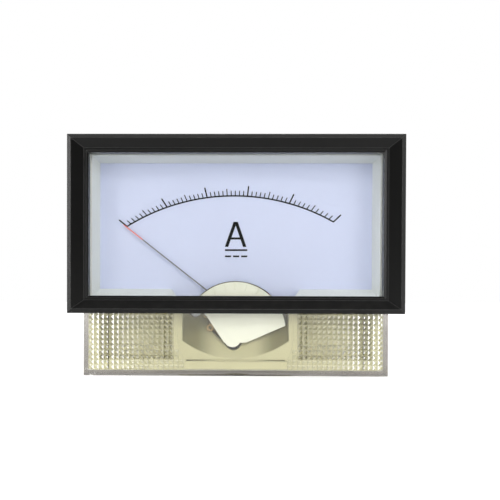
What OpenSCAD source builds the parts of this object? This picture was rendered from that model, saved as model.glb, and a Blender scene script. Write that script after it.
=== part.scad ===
// Flush panel meter with a moving coil movement, for a direct current of some amperes.
// X to the right, Z up, the front faces -Y. The panel's front face is the plane Y = 0
// and the origin lies on the barrel's axis, at the centre of the mounting studs.

/* [Bezel] */
// Width of the bezel, the widest part of the meter
bezel_w = 100; // [96:1:120]
// Height of the textured part that shows below the bezel
lower_h = 19; // [18:0.5:20.5]
// Width of the left and right rails
side_rail = 6.1; // [5.6:0.1:7.5]
// Width of the top and bottom rails
top_rail = 5.2; // [4.8:0.1:6]
// Bevel round the outer edge
bezel_bevel = 1.3; // [0.6:0.1:1.6]
// Drop from the front ridge to the step beside the opening
rail_drop = 2.4; // [1.4:0.1:3]
// Width of the flat step beside the opening
lip_step = 0.7; // [0.3:0.1:1]
// Bevel at the edge of the opening
lip_bevel = 0.6; // [0.2:0.1:0.9]
// How far the bezel stands out in front of the cover's face
bezel_depth = 6; // [5:0.5:9]
// Length of the skirt that reaches back over the cover's sides
skirt_len = 6; // [3:0.5:9]
// Thickness of the skirt at the sides
side_skirt = 3.7; // [2:0.1:4.5]
// Thickness of the skirt at the top
top_skirt = 2.6; // [1.5:0.1:4]

/* [Front cover] */
// Height of the whole front, bezel and lower part together
front_h = 72; // [68:0.5:78]
// Height of the barrel's axis above the cover's lower edge
axis_rise = 32.5; // [32:0.5:36]
// Distance from the panel to the cover's face
cover_depth = 14; // [13.5:0.5:18]
// Wall of the clear cover
cover_wall = 1.6; // [1.2:0.1:1.8]
// Bevel round the front of the cover
cover_bevel = 0.5; // [0.2:0.1:0.8]
// Distance between the tips of two pyramids
pyramid_pitch = 1.52; // [1.3:0.02:1.6]
// Height of the pyramids on the inside of the cover
pyramid_h = 0.56; // [0.4:0.02:0.8]
// Columns of pyramids on each side
pyramid_cols = 17; // [10:1:17]
// Rows of pyramids
pyramid_rows = 12; // [8:1:12]
// Smooth margin between the pyramids and the cover's edge
pyramid_margin = 1.5; // [1.2:0.1:2]
// Radius of the smooth arch in front of the movement
arch_r = 17.6; // [16.8:0.1:18.4]
// Height of the arch's centre under the pointer's axis
arch_drop = 6.3; // [5.6:0.1:7]
// Depth of the step that outlines the arch inside the cover
arch_step = 0.7; // [0.2:0.1:0.9]
// Length of the lugs that hold the cover on the housing
lug_len = 9; // [6:0.5:14]

/* [Dial] */
// Thickness of the dial plate
dial_t = 0.8; // [0.5:0.1:1.2]
// Distance from the panel to the back of the dial plate
dial_seat = 3.7; // [3:0.1:4.2]
// Radius of the dial's cut-out round the movement
dial_cut_r = 16.2; // [15.9:0.1:16.6]
// Height of the cut-out's centre under the pointer's axis
dial_cut_drop = 6.3; // [5.8:0.1:6.6]
// Thickness of the dial surround at the window
surround_rim = 0.5; // [0.4:0.1:1]
// Thickness of the dial surround at the dial, on the sides and the top
surround_foot = 1.7; // [1.2:0.1:2.4]
// Thickness of the dial surround at the dial, along the bottom
surround_sill = 3.4; // [2:0.1:4]
// Half the width of the gap in the surround above the movement
sill_gap = 20; // [19:0.1:24]
// How much narrower that gap is at the window
sill_slant = 2.5; // [0:0.1:3]
// Radius of the scale's arc
scale_r = 63.3; // [58:0.1:66]
// Distance of the arc's highest point below the upper edge of the dial
scale_top = 10.1; // [8:0.1:12]
// Shift of the arc's centre to the left
scale_shift = 0.5; // [0:0.1:2]
// Thickness of the printed arc
arc_w = 0.42; // [0.2:0.02:0.8]
// Thickness of the long marks
major_w = 0.42; // [0.2:0.02:0.8]
// Thickness of the short marks
minor_w = 0.3; // [0.15:0.01:0.5]
// Length of the long marks
major_len = 3.2; // [2:0.1:4]
// Length of the middle marks
mid_len = 2.2; // [1.2:0.1:3]
// Length of the short marks
minor_len = 1.6; // [0.8:0.1:2]
// Thickness of the ink
ink_t = 0.1; // [0.04:0.01:0.2]

/* [Housing] */
// Outer radius of the barrel
barrel_r = 30; // [29.6:0.1:30.6]
// Wall of the barrel
barrel_wall = 2; // [1.6:0.1:2.2]
// Depth of the barrel behind the panel
barrel_depth = 26; // [25:0.5:36]
// Thickness of the flange on the panel
flange_t = 2; // [1.6:0.1:2.6]
// Height of the shelf that divides dial and lower part, above the bezel's lower edge
shelf_rise = 3.6; // [3.4:0.1:4.2]
// Gap between the cover's inside and the front of the housing's rims
rim_gap = 0.6; // [0.3:0.1:1]
// Width of the rims round the side compartments
rim_w = 3; // [2.5:0.1:3.6]
// Thickness of the shelf and of the floors of the compartments
housing_wall = 1.6; // [1.2:0.1:2]
// Half the width of the pocket in front of the movement
pocket_half = 16.2; // [15.9:0.1:16.8]
// Radius of the pocket's lower edge
pocket_r = 27.4; // [26.8:0.1:27.8]
// Depth of the bowl behind the pocket, at the barrel's axis
bowl_depth = 12; // [11:0.1:12.5]
// Radius of the hole in the bowl for the movement
bowl_hole_r = 9.2; // [8.9:0.1:10]
// Height of the raised bar under the pocket
bar_h = 2.3; // [1.5:0.1:2.6]
// How far that bar stands out
bar_rise = 0.35; // [0.2:0.05:0.5]

/* [Movement] */
// Height of the pointer's axis under the barrel's axis
pivot_drop = 13.6; // [13:0.1:14.2]
// Gap between the surround and the tip of the pointer when it points straight up
pointer_clear = 1.9; // [1:0.1:4]
// Direction of the pointer at rest, from straight up, to the right
rest_deg = -51.9; // [-54:0.1:-48]
// Direction of the first mark on the scale
zero_deg = -51.6; // [-54:0.1:-48]
// Angle of the first tenth part of a hundred divisions
first_step = 18.2; // [17:0.1:19]
// Growth of that angle from one long mark to the next
step_growth = 0.3; // [0:0.05:0.5]
// Width of the pointer's blade
blade_w = 0.36; // [0.3:0.02:0.6]
// Thickness of the pointer
blade_t = 0.3; // [0.2:0.02:0.4]
// Radius of the iron core
core_r = 5; // [4.6:0.1:5.2]
// Length of the iron core
core_len = 10; // [8:0.5:11]
// Thickness of the coil former
former_t = 0.3; // [0.2:0.05:0.4]
// Thickness of the winding
winding_t = 0.8; // [0.5:0.05:0.9]
// Width of the winding along its turns' stack
winding_w = 3; // [2:0.1:3.2]
// Outer half width of the pole pieces
pole_half = 9.8; // [9.4:0.1:9.9]
// Height of the pole pieces above the pointer's axis
pole_rise = 24; // [20:0.5:24]
// Depth of the pole pieces below the pointer's axis
pole_fall = 9; // [8.6:0.1:9.4]
// Half the width of the magnet
magnet_half = 5.5; // [4.5:0.1:6]
// Thickness of the movement's frame
frame_t = 1; // [0.8:0.1:1.2]
// Thickness of the rear clamp plate
clamp_t = 1.2; // [0.8:0.1:1.4]
// Distance of the fixing screws from the middle
ear_x = 12.6; // [12.5:0.1:13]
// Radius of the movement's cover
shield_r = 15.4; // [15:0.1:15.7]
// Thickness of the movement's cover
shield_t = 0.8; // [0.6:0.1:1]
// Distance from the panel to the front of the movement's cover
shield_depth = 10; // [9.8:0.1:10.6]

/* [Zero adjuster] */
// Height of the adjuster's axis under the pointer's axis
adjuster_drop = 9; // [8.7:0.1:9.3]
// Shift of the adjuster's axis to the left
adjuster_shift = 0.66; // [0.4:0.02:1]
// Radius of the adjuster's head
adjuster_r = 2.1; // [1.8:0.1:2.2]
// Distance of its pin from its axis
eccentric = 0.9; // [0.6:0.05:1]

/* [Terminals and studs] */
// Distance of the terminals from the middle
terminal_x = 14; // [12:0.5:16]
// Radius of the terminal studs
terminal_r = 2.5; // [2:0.1:3]
// Length of the terminal studs behind the barrel
terminal_len = 14; // [12:0.5:20]
// Width of the terminal nuts across flats
nut_af = 8; // [7.6:0.1:9]
// Thickness of a terminal nut
nut_t = 3.2; // [2.5:0.1:4]
// Thickness of a flat washer
washer_t = 1; // [0.6:0.1:1.4]
// Distance of the mounting studs from the middle, sideways
stud_x = 36; // [34:0.5:40]
// Distance of the mounting studs from the middle, up and down
stud_z = 26; // [25:0.5:28]
// Radius of the mounting studs
stud_r = 1.5; // [1.5:0.1:2]
// Length of the mounting studs behind the panel
stud_len = 13; // [8:0.5:20]

/* [Fits] */
// Gap between mouldings that slide into each other
fit_gap = 0.3; // [0.2:0.05:0.35]
// Gap round everything that turns
run_gap = 0.3; // [0.2:0.05:0.35]
// Gap round pins and screws in their holes
pin_gap = 0.02; // [0.01:0.01:0.05]

/* [Hidden] */
$fn = 64;
// A little more than nothing, for cuts that run past a face
eps = 0.02;

// Outlines of the front
bezel_top = front_h - axis_rise;
bezel_bottom = lower_h - axis_rise;
cover_half = bezel_w / 2 - side_skirt - fit_gap;
cover_top = bezel_top - top_skirt - fit_gap;
cover_bottom = -axis_rise;
cover_inner = cover_half - cover_wall;
face_y = -cover_depth;
inside_y = face_y + cover_wall;
bezel_y = face_y - bezel_depth;
skirt_y = face_y + skirt_len;
lug_z = 20;
lug_t = 0.7;
lug_depth = 0.5;
lug_back = 0.5;
// Dial and surround
shelf_z = bezel_bottom + shelf_rise;
dial_front = -dial_seat - dial_t;
surround_half = cover_inner - fit_gap;
surround_top = cover_top - cover_wall - fit_gap;
surround_bottom = shelf_z + fit_gap;
dial_margin = 0.5;
lobe_gap = 0.4;
lobe_drop = 3;
surround_y = inside_y + fit_gap;
// Housing
block_half = surround_half;
block_bottom = cover_bottom + cover_wall + fit_gap;
rim_y = inside_y + rim_gap;
barrel_in = barrel_r - barrel_wall;
barrel_back = barrel_depth - barrel_wall;
floor_y = -5;
ledge_w = 2.5;
bar_half = pocket_half;
groove_half = pocket_half - 1.2;
groove_w = 0.4;
groove_gap = 0.2;
barrel_bevel = 1;
sign_len = 4;
sign_w = 0.8;
sign_t = 0.4;
sign_z = 9;
cavity_y = floor_y + housing_wall;
// The bowl is a piece of a ball that meets the pocket's edge
bowl_r = (pow(pocket_r, 2) + pow(bowl_depth, 2)) / (2 * bowl_depth);
bowl_y = rim_y + bowl_depth - bowl_r;
// The bowl ends just under the dial's lobe
bowl_top = shelf_z + lobe_gap - lobe_drop - fit_gap;
cut_z = -pivot_drop - dial_cut_drop;
shield_lift = 0.5;
// The two edges of the V in the movement's cover, each as a foot and a direction from straight up
shield_z = cut_z + shield_lift;
left_foot = [-3, shield_z - 3.95];
left_foot_deg = 33.5;
right_foot = [0.9, shield_z - 4.2];
right_foot_deg = 66.6;
point_centre = [-0.9, shield_z - 2];
point_r = 2.6;
point_low = shield_z - 3.2;
shield_post_r = 1.2;
shield_post_x = 5.4;
arch_z = -pivot_drop - arch_drop;
boss_r = 2.3;
boss_hole = 0.95;
top_ear_z = 14.5;
ear_lift = 0.4;
ear_head_r = 1.7;
ear_head_t = 1.3;
ear_screw_len = 7;
stud_foot_r = stud_r + 0.9;
// Movement
pz = -pivot_drop;
pointer_len = surround_top - surround_foot - pointer_clear - pz;
scale_z = surround_top - surround_foot - scale_top - scale_r;
former_in = core_r + 0.4;
former_out = former_in + former_t;
winding_out = former_out + winding_t;
sweep_r = sqrt(pow(winding_out, 2) + pow(winding_w / 2, 2));
bore_r = sweep_r + 0.5;
plate_hole_r = bore_r + 0.2;
pole_gap = 2.2;
tip_z = pz + 8.6;
end_gap = 0.9;
coil_front = -end_gap - former_t - winding_t;
coil_back = core_len + end_gap + former_t + winding_t;
mid_deg = zero_deg + 2.5 * first_step + 12.5 * step_growth;
coil_deg = rest_deg - mid_deg + 0.5;
leg_in = 7.5;
leg_x = (leg_in + pole_half) / 2;
leg_half = 1.6;
bridge_t = 1;
bridge_front = -7.5;
bridge_back = bridge_front + bridge_t;
rear_leg = core_len + clamp_t;
rear_bridge_front = coil_back + 1.6;
jewel_r = 1;
jewel_bore = 0.5;
tip_r = jewel_bore - run_gap;
collet_r = 1;
spindle_r = 0.6;
pointer_front = bridge_back + run_gap;
pointer_back = pointer_front + blade_t;
tail_len = 5.4;
tail_half = 0.45;
spring_t = 0.4;
spring_w = 0.14;
spring_in = collet_r + run_gap + spring_w;
spring_out = 5.6;
spring_turns = 3.5;
front_spring_y = -4;
rear_spring_y = coil_back + 0.5;
// Zero lever
lever_t = 0.5;
lever_back = bridge_front - 0.1;
lever_front = lever_back - lever_t;
lever_hub_r = 2.6;
tab_deg = 240;
tab_in = spring_out + 0.6;
tab_t = 0.8;
pin_r = 0.5;
slot_gap = 0.2;
// The pin lies above the adjuster's axis, so the fork ends round it
adjuster_z = pz - adjuster_drop;
pin_x = -adjuster_shift;
pin_z = adjuster_z + eccentric;
pin_reach = sqrt(pow(pin_x, 2) + pow(pin_z - pz, 2));
fork_deg = 180 + atan2(-pin_x, pz - pin_z);
nut_front = lever_front - 0.2;
jewel_nut_t = 0.6;
head_back = -6.3;
head_t = 0.9;
recess_y = head_back + 0.2;
// Colours
cream = [0.84, 0.82, 0.70];
steel = [0.62, 0.63, 0.65];
brass = [0.78, 0.62, 0.30];
tin = [0.80, 0.80, 0.78];

// A round bar along Y
module rod(r, y0, y1, x = 0, z = 0) {
    translate([x, y0, z])
        rotate([-90, 0, 0])
            cylinder(r = r, h = y1 - y0);
}

// A six-sided bar along Y, width across flats
module hex_rod(af, y0, y1, x = 0, z = 0) {
    translate([x, y0, z])
        rotate([-90, 0, 0])
            cylinder(r = af / sqrt(3), h = y1 - y0, $fn = 6);
}

// A box given by its two corners
module block(a, b) {
    translate(a)
        cube(b - a);
}

// A flat outline in X and Z, made solid from y0 to y1
module slab(y0, y1) {
    translate([0, y1, 0])
        rotate([90, 0, 0])
            linear_extrude(y1 - y0)
                children();
}

// An outline in Y and Z, made solid along X
module along_x(x0, x1) {
    translate([x0, 0, 0])
        rotate([90, 0, 90])
            linear_extrude(x1 - x0)
                children();
}

// An outline in X and Y, made solid along Z
module along_z(z0, z1) {
    translate([0, 0, z0])
        linear_extrude(z1 - z0)
            children();
}

// A rectangle in X and Z
module rect(x0, x1, z0, z1) {
    translate([x0, z0])
        square([x1 - x0, z1 - z0]);
}

// Turns a child about the pointer's axis, clockwise as seen from the front
module about_pivot(deg) {
    translate([0, 0, pz])
        rotate([0, deg, 0])
            children();
}

// Both sides of the meter
module both_sides() {
    children();
    mirror([1, 0, 0])
        children();
}

// ---- Bezel ----

// The bezel's outside, bevelled towards the front
module bezel_outside() {
    half = bezel_w / 2;
    intersection() {
        along_z(bezel_bottom, bezel_top)
            polygon([
                [-half, skirt_y], [-half, bezel_y + bezel_bevel], [-half + bezel_bevel, bezel_y],
                [half - bezel_bevel, bezel_y], [half, bezel_y + bezel_bevel], [half, skirt_y]
            ]);
        along_x(-half, half)
            polygon([
                [skirt_y, bezel_bottom], [bezel_y + bezel_bevel, bezel_bottom],
                [bezel_y, bezel_bottom + bezel_bevel], [bezel_y, bezel_top - bezel_bevel],
                [bezel_y + bezel_bevel, bezel_top], [skirt_y, bezel_top]
            ]);
    }
}

// The funnel of the opening: a slope, a flat step and a small bevel
module bezel_funnel() {
    half = bezel_w / 2;
    step_y = bezel_y + rail_drop;
    bevel_y = step_y + lip_bevel;
    inner = side_rail;
    foot = lip_bevel + lip_step;
    intersection() {
        along_z(bezel_bottom, bezel_top)
            polygon([
                [-half + bezel_bevel, bezel_y - 1], [-half + bezel_bevel, bezel_y],
                [-half + inner - foot, step_y], [-half + inner - lip_bevel, step_y],
                [-half + inner, bevel_y], [-half + inner, face_y + 1],
                [half - inner, face_y + 1], [half - inner, bevel_y],
                [half - inner + lip_bevel, step_y], [half - inner + foot, step_y],
                [half - bezel_bevel, bezel_y], [half - bezel_bevel, bezel_y - 1]
            ]);
        along_x(-half, half)
            polygon([
                [bezel_y - 1, bezel_bottom + bezel_bevel], [bezel_y, bezel_bottom + bezel_bevel],
                [step_y, bezel_bottom + top_rail - foot],
                [step_y, bezel_bottom + top_rail - lip_bevel],
                [bevel_y, bezel_bottom + top_rail], [face_y + 1, bezel_bottom + top_rail],
                [face_y + 1, bezel_top - top_rail], [bevel_y, bezel_top - top_rail],
                [step_y, bezel_top - top_rail + lip_bevel], [step_y, bezel_top - top_rail + foot],
                [bezel_y, bezel_top - bezel_bevel], [bezel_y - 1, bezel_top - bezel_bevel]
            ]);
    }
}

module bezel_frame() {
    color([0.13, 0.13, 0.13])
        difference() {
            bezel_outside();
            bezel_funnel();
            // Room for the cover, open towards the lower edge
            block([-cover_half - fit_gap, face_y, bezel_bottom - 1],
                  [cover_half + fit_gap, skirt_y + 1, cover_top + fit_gap]);
        }
}

// ---- Front cover ----

// A row of teeth, its points towards +Y, for the columns of pyramids
function teeth(start, count) = concat(
    [[start, -tooth_root]],
    [for (i = [0:2 * count]) [start + i * pyramid_pitch / 2, i % 2 == 1 ? pyramid_h : 0]],
    [[start + count * pyramid_pitch, -tooth_root]]
);

// Where the pyramids begin, counted from the cover's outer edge
pyramid_out = cover_half - pyramid_margin;
pyramid_base = cover_bottom + pyramid_margin + fit_gap;
pyramid_top = pyramid_base + pyramid_rows * pyramid_pitch;
valley_y = inside_y - pyramid_h;
tooth_root = 0.2;
arch_line_w = 0.35;
arch_line_t = 0.25;

// The area of the pyramids: two more columns fit in beside the foot of the arch
module pyramid_area(grow) {
    steps = [[0, pyramid_rows], [1, 4], [2, 2]];
    for (s = steps)
        rect(pyramid_out - (pyramid_cols + s[0]) * pyramid_pitch - grow, pyramid_out + grow,
             pyramid_base - grow, pyramid_base + s[1] * pyramid_pitch + grow);
}

// Two crossed rows of teeth leave a field of pyramids where they overlap, inside the cover
module pyramids() {
    columns = pyramid_cols + 2;
    intersection() {
        along_z(pyramid_base, pyramid_top)
            translate([0, valley_y])
                polygon(teeth(pyramid_out - columns * pyramid_pitch, columns));
        along_x(0, pyramid_out)
            translate([valley_y, 0])
                polygon([for (p = teeth(pyramid_base, pyramid_rows)) [p[1], p[0]]]);
        slab(face_y, inside_y + 1)
            pyramid_area(0);
    }
}

// The arch: round at the top, straight sides, drawn in towards its foot
module arch_outline(grow) {
    r = arch_r + grow;
    shoulder = arch_z - 1.8;
    foot = shoulder - 6.3;
    intersection() {
        union() {
            translate([0, arch_z])
                circle(r = r);
            rect(-r, r, shoulder, arch_z);
            polygon([[-r, shoulder], [-r + 2.4, foot], [r - 2.4, foot], [r, shoulder]]);
        }
        rect(-r, r, foot, 0);
    }
}

// Small lugs inside the walls that snap behind a step in the flange
module cover_lugs() {
    for (z = [-lug_z, lug_z])
        block([cover_inner - fit_gap - lug_depth, -lug_back - lug_t, z - lug_len / 2],
              [cover_inner + eps, -lug_back, z + lug_len / 2]);
}

module lug_notches() {
    for (z = [-lug_z, lug_z])
        block([cover_inner - 2 * fit_gap - lug_depth, -lug_back - lug_t - fit_gap,
               z - lug_len / 2 - fit_gap],
              [cover_half, 1, z + lug_len / 2 + fit_gap]);
}

// The bevel along the lower edge and up both sides of the cover's face
module cover_bevels() {
    along_x(-cover_half - 1, cover_half + 1)
        polygon([[face_y - 1, cover_bottom - 1], [face_y + cover_bevel, cover_bottom - 1],
                 [face_y + cover_bevel, cover_bottom], [face_y, cover_bottom + cover_bevel],
                 [face_y - 1, cover_bottom + cover_bevel]]);
    both_sides()
        along_z(cover_bottom - 1, bezel_bottom)
            polygon([[cover_half + 1, face_y - 1], [cover_half + 1, face_y + cover_bevel],
                     [cover_half, face_y + cover_bevel], [cover_half - cover_bevel, face_y],
                     [cover_half - cover_bevel, face_y - 1]]);
}

module front_cover() {
    color([0.86, 0.86, 0.82, 0.4])
        union() {
            difference() {
                block([-cover_half, face_y, cover_bottom], [cover_half, 0, cover_top]);
                block([-cover_inner, inside_y, cover_bottom + cover_wall],
                      [cover_inner, 1, cover_top - cover_wall]);
                slab(inside_y - arch_step, inside_y + 1)
                    arch_outline(0);
                // A narrow line, sunk deeper, follows the arch's outline
                slab(inside_y - arch_step - arch_line_t, inside_y)
                    difference() {
                        arch_outline(0);
                        arch_outline(-arch_line_w);
                    }
                cover_bevels();
                both_sides()
                    slab(valley_y, inside_y + 1)
                        pyramid_area(0);
            }
            both_sides()
                pyramids();
            both_sides()
                cover_lugs();
        }
}

// ---- Housing ----

// The deep lower part with its side compartments, up to the shelf under the dial
module lower_block() {
    difference() {
        block([-block_half, rim_y, block_bottom], [block_half, -flange_t + eps, shelf_z]);
        both_sides()
            block([pocket_half + rim_w, rim_y - 1, block_bottom + rim_w],
                  [block_half - rim_w, floor_y, shelf_z - housing_wall]);
    }
    block([-bar_half, rim_y - bar_rise, block_bottom],
          [bar_half, rim_y + eps, block_bottom + bar_h]);
}

// The low wall round the upper tray, which carries the dial plate
module dial_ledge() {
    difference() {
        block([-surround_half, -dial_seat, shelf_z - eps],
              [surround_half, -flange_t + eps, surround_top]);
        block([-surround_half + ledge_w, -dial_seat - 1, shelf_z + ledge_w],
              [surround_half - ledge_w, 0, surround_top - ledge_w]);
        block([-pocket_half, -dial_seat - 1, shelf_z - 1],
              [pocket_half, 0, 0]);
    }
}

// The opening in front of the movement: straight sides and a round lower edge
module pocket_outline() {
    intersection() {
        circle(r = pocket_r);
        rect(-pocket_half, pocket_half, -barrel_r, barrel_r);
    }
}

// The bowl behind the pocket, with a hole for the movement
module bowl() {
    intersection() {
        difference() {
            translate([0, bowl_y, 0])
                sphere(r = bowl_r + housing_wall);
            translate([0, bowl_y, 0])
                sphere(r = bowl_r);
            rod(bowl_hole_r, rim_y - 1, 5, 0, pz);
            // Room for the bridge's feet and for the heads of the frame's screws
            block([-pole_half - fit_gap, rim_y, pz - leg_half - fit_gap],
                  [pole_half + fit_gap, 5, pz + leg_half + fit_gap]);
            for (x = [-ear_x, ear_x])
                rod(ear_head_r + fit_gap, rim_y, 5, x, pz + ear_lift);
        }
        block([-pocket_half - eps, rim_y, -pocket_r - 1], [pocket_half + eps, 0, bowl_top]);
    }
}

// The bearing of the zero adjuster in the bowl
module adjuster_bearing() {
    difference() {
        rod(adjuster_r + 1.1, head_back - head_t, recess_y + 2.7, -adjuster_shift, adjuster_z);
        block([-8, rim_y - 1, adjuster_z - 0.5], [8, lever_back + run_gap, 0]);
    }
}

module adjuster_bore() {
    rod(adjuster_r + run_gap, rim_y - 1, recess_y, -adjuster_shift, adjuster_z);
    rod(adjuster_r - 0.6 + run_gap, rim_y - 1, 5, -adjuster_shift, adjuster_z);
    // Room for the swing of the lever's fork
    block([-adjuster_shift - 2.5, rim_y - 1, pin_z - 1.6],
          [-adjuster_shift + 2.5, lever_back + run_gap, 0]);
}

// Places of the posts that carry the movement
ear_places = [[-ear_x, pz + ear_lift], [ear_x, pz + ear_lift], [0, top_ear_z]];

module movement_posts() {
    for (p = ear_places)
        rod(boss_r, 0, barrel_back + eps, p[0], p[1]);
}

module stud_places() {
    for (x = [-stud_x, stud_x], z = [-stud_z, stud_z])
        translate([x, 0, z])
            children();
}

module barrel_outside() {
    rod(barrel_r, -eps, barrel_depth - barrel_bevel);
    translate([0, barrel_depth - barrel_bevel - eps, 0])
        rotate([-90, 0, 0])
            cylinder(r1 = barrel_r, r2 = barrel_r - barrel_bevel, h = barrel_bevel + eps);
}

// A sunk plus beside the left terminal and a minus beside the right one
module polarity_signs() {
    for (x = [-terminal_x, terminal_x])
        block([x - sign_len / 2, barrel_depth - sign_t, sign_z - sign_w / 2],
              [x + sign_len / 2, barrel_depth + 1, sign_z + sign_w / 2]);
    block([-terminal_x - sign_w / 2, barrel_depth - sign_t, sign_z - sign_len / 2],
          [-terminal_x + sign_w / 2, barrel_depth + 1, sign_z + sign_len / 2]);
}

module housing() {
    color(cream)
        difference() {
            union() {
                difference() {
                    union() {
                        block([-block_half, -flange_t, block_bottom], [block_half, 0, surround_top]);
                        lower_block();
                        dial_ledge();
                        barrel_outside();
                    }
                    rod(barrel_in, cavity_y, barrel_back);
                    slab(rim_y - 1, cavity_y + 0.1)
                        pocket_outline();
                }
                bowl();
                adjuster_bearing();
                movement_posts();
                stud_places()
                    rod(stud_foot_r + 0.9, -flange_t - 1.6, -flange_t + eps);
            }
            adjuster_bore();
            for (p = ear_places)
                rod(boss_hole, -1, 9, p[0], p[1]);
            stud_places()
                rod(stud_foot_r + pin_gap, -flange_t - 1, 1);
            for (x = [-terminal_x, terminal_x])
                rod(terminal_r + 0.1, barrel_back - 1, barrel_depth + 1, x, 0);
            // Way to the zero adjuster from the rear
            rod(adjuster_r + 0.4, barrel_back - 1, barrel_depth + 1, -adjuster_shift, adjuster_z);
            both_sides()
                lug_notches();
            polarity_signs();
            // Groove between the pocket and the raised bar
            block([-groove_half, rim_y - 1, block_bottom + bar_h + groove_gap],
                  [groove_half, rim_y + groove_w, block_bottom + bar_h + groove_gap + groove_w]);
        }
}

// ---- Dial ----

// The tapered space inside the surround, wider at the window
module surround_space() {
    front = surround_half - surround_rim;
    back = surround_half - surround_foot;
    intersection() {
        along_z(surround_bottom - 1, surround_top + 1)
            polygon([
                [-front, surround_y - 1], [-front, surround_y], [-back, dial_front],
                [-back, dial_front + 1], [back, dial_front + 1], [back, dial_front],
                [front, surround_y], [front, surround_y - 1]
            ]);
        along_x(-surround_half, surround_half)
            polygon([
                [surround_y - 1, surround_bottom + surround_rim],
                [surround_y, surround_bottom + surround_rim],
                [dial_front, surround_bottom + surround_sill],
                [dial_front + 1, surround_bottom + surround_sill],
                [dial_front + 1, surround_top - surround_foot],
                [dial_front, surround_top - surround_foot],
                [surround_y, surround_top - surround_rim],
                [surround_y - 1, surround_top - surround_rim]
            ]);
    }
}

module dial_surround() {
    color([0.82, 0.84, 0.82])
        difference() {
            block([-surround_half, surround_y, surround_bottom],
                  [surround_half, dial_front, surround_top]);
            surround_space();
            // The sill is open above the movement, with slanted ends
            along_z(surround_bottom - 1, 0)
                polygon([
                    [-sill_gap, dial_front + 1], [-sill_gap, dial_front],
                    [-sill_gap + sill_slant, surround_y], [-sill_gap + sill_slant, surround_y - 1],
                    [sill_gap - sill_slant, surround_y - 1], [sill_gap - sill_slant, surround_y],
                    [sill_gap, dial_front], [sill_gap, dial_front + 1]
                ]);
        }
}

// The dial: a rectangle with a lobe that is cut out round the movement
module dial_outline() {
    half = surround_half - dial_margin;
    lobe = pocket_half - lobe_gap;
    low = shelf_z + lobe_gap;
    difference() {
        union() {
            rect(-half, half, low, surround_top - dial_margin);
            rect(-lobe, lobe, low - lobe_drop, 0);
        }
        translate([0, cut_z])
            circle(r = dial_cut_r);
    }
}

module dial_plate() {
    color([0.80, 0.83, 0.91])
        slab(dial_front, -dial_seat)
            dial_outline();
}

// Direction of division i of fifty, with steps that grow a little along the scale
function mark_deg(i) = zero_deg + first_step * i / 10 + step_growth * pow(i / 10, 2);

// Distance from the pointer's axis to the arc in one direction
function arc_reach(deg) =
    let (dx = scale_shift, dz = pz - scale_z, along = sin(deg) * dx + cos(deg) * dz)
    -along + sqrt(pow(along, 2) - pow(dx, 2) - pow(dz, 2) + pow(scale_r, 2));

// Direction of a mark's foot as seen from the arc's own centre
function arc_deg(deg) =
    atan2(arc_reach(deg) * sin(deg) + scale_shift,
          arc_reach(deg) * cos(deg) + pz - scale_z);

function mark_len(i) = i % 10 == 0 ? major_len : i % 5 == 0 ? mid_len : minor_len;

module scale_marks() {
    a0 = arc_deg(mark_deg(0));
    a1 = arc_deg(mark_deg(50));
    color([0.12, 0.11, 0.14])
        slab(dial_front - ink_t, dial_front)
            union() {
                translate([-scale_shift, scale_z])
                    intersection() {
                        difference() {
                            circle(r = scale_r + arc_w / 2, $fn = 180);
                            circle(r = scale_r - arc_w / 2, $fn = 180);
                        }
                        polygon([
                            [0, 0], 2 * scale_r * [sin(a0), cos(a0)],
                            [0, 2 * scale_r], 2 * scale_r * [sin(a1), cos(a1)]
                        ]);
                    }
                for (i = [0:50]) {
                    deg = mark_deg(i);
                    w = i % 10 == 0 ? major_w : minor_w;
                    translate([0, pz])
                        rotate(-deg)
                            rect(-w / 2, w / 2, arc_reach(deg) - arc_w / 4,
                                 arc_reach(deg) + mark_len(i));
                }
            }
}

// ---- Movement, fixed parts ----

// The movement's cover: a disc cut to a V, drawn in by an inset
module shield_outline(inset) {
    intersection() {
        translate([0, shield_z])
            circle(r = shield_r - inset);
        // Right of the left edge
        translate(left_foot + [inset, inset])
            rotate(left_foot_deg)
                rect(0, 60, -30, 60);
        // Above the right edge
        translate(right_foot + [0, inset])
            rotate(-right_foot_deg)
                rect(-60, 0, -30, 60);
        // The point of the V is cut round
        union() {
            translate(point_centre)
                circle(r = point_r - inset);
            rect(-60, 60, point_low, 60);
        }
    }
}

module movement_cover() {
    front = -shield_depth;
    back = front + shield_t;
    color([0.91, 0.92, 0.84])
        difference() {
            union() {
                slab(front, back)
                    shield_outline(0);
                slab(back - eps, back + 0.5)
                    difference() {
                        shield_outline(0);
                        shield_outline(0.7);
                    }
                both_sides()
                    rod(shield_post_r, back - eps, bridge_front, shield_post_x, pz);
            }
            // Short grooves round the top
            for (deg = [-28:14:28])
                translate([0, 0, shield_z])
                    rotate([0, deg, 0])
                        block([-0.25, front - 1, shield_r - 2.4], [0.25, front + 0.3, shield_r + 1]);
        }
}

module ear_outline() {
    translate([0, pz + ear_lift]) {
        rect(-ear_x, ear_x, -boss_r, boss_r);
        for (x = [-ear_x, ear_x])
            translate([x, 0])
                circle(r = boss_r);
    }
    translate([0, top_ear_z])
        circle(r = boss_r + 0.6);
    rect(-boss_r - 0.6, boss_r + 0.6, 0, top_ear_z);
}

clamp_places = [[-7.6, pz + pole_rise - 3], [7.6, pz + pole_rise - 3], [-8.2, pz - 7.4], [8.2, pz - 7.4]];
clamp_screw_r = 0.8;

module screw_holes(places, r, y0, y1) {
    for (p = places)
        rod(r, y0, y1, p[0], p[1]);
}

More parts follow.
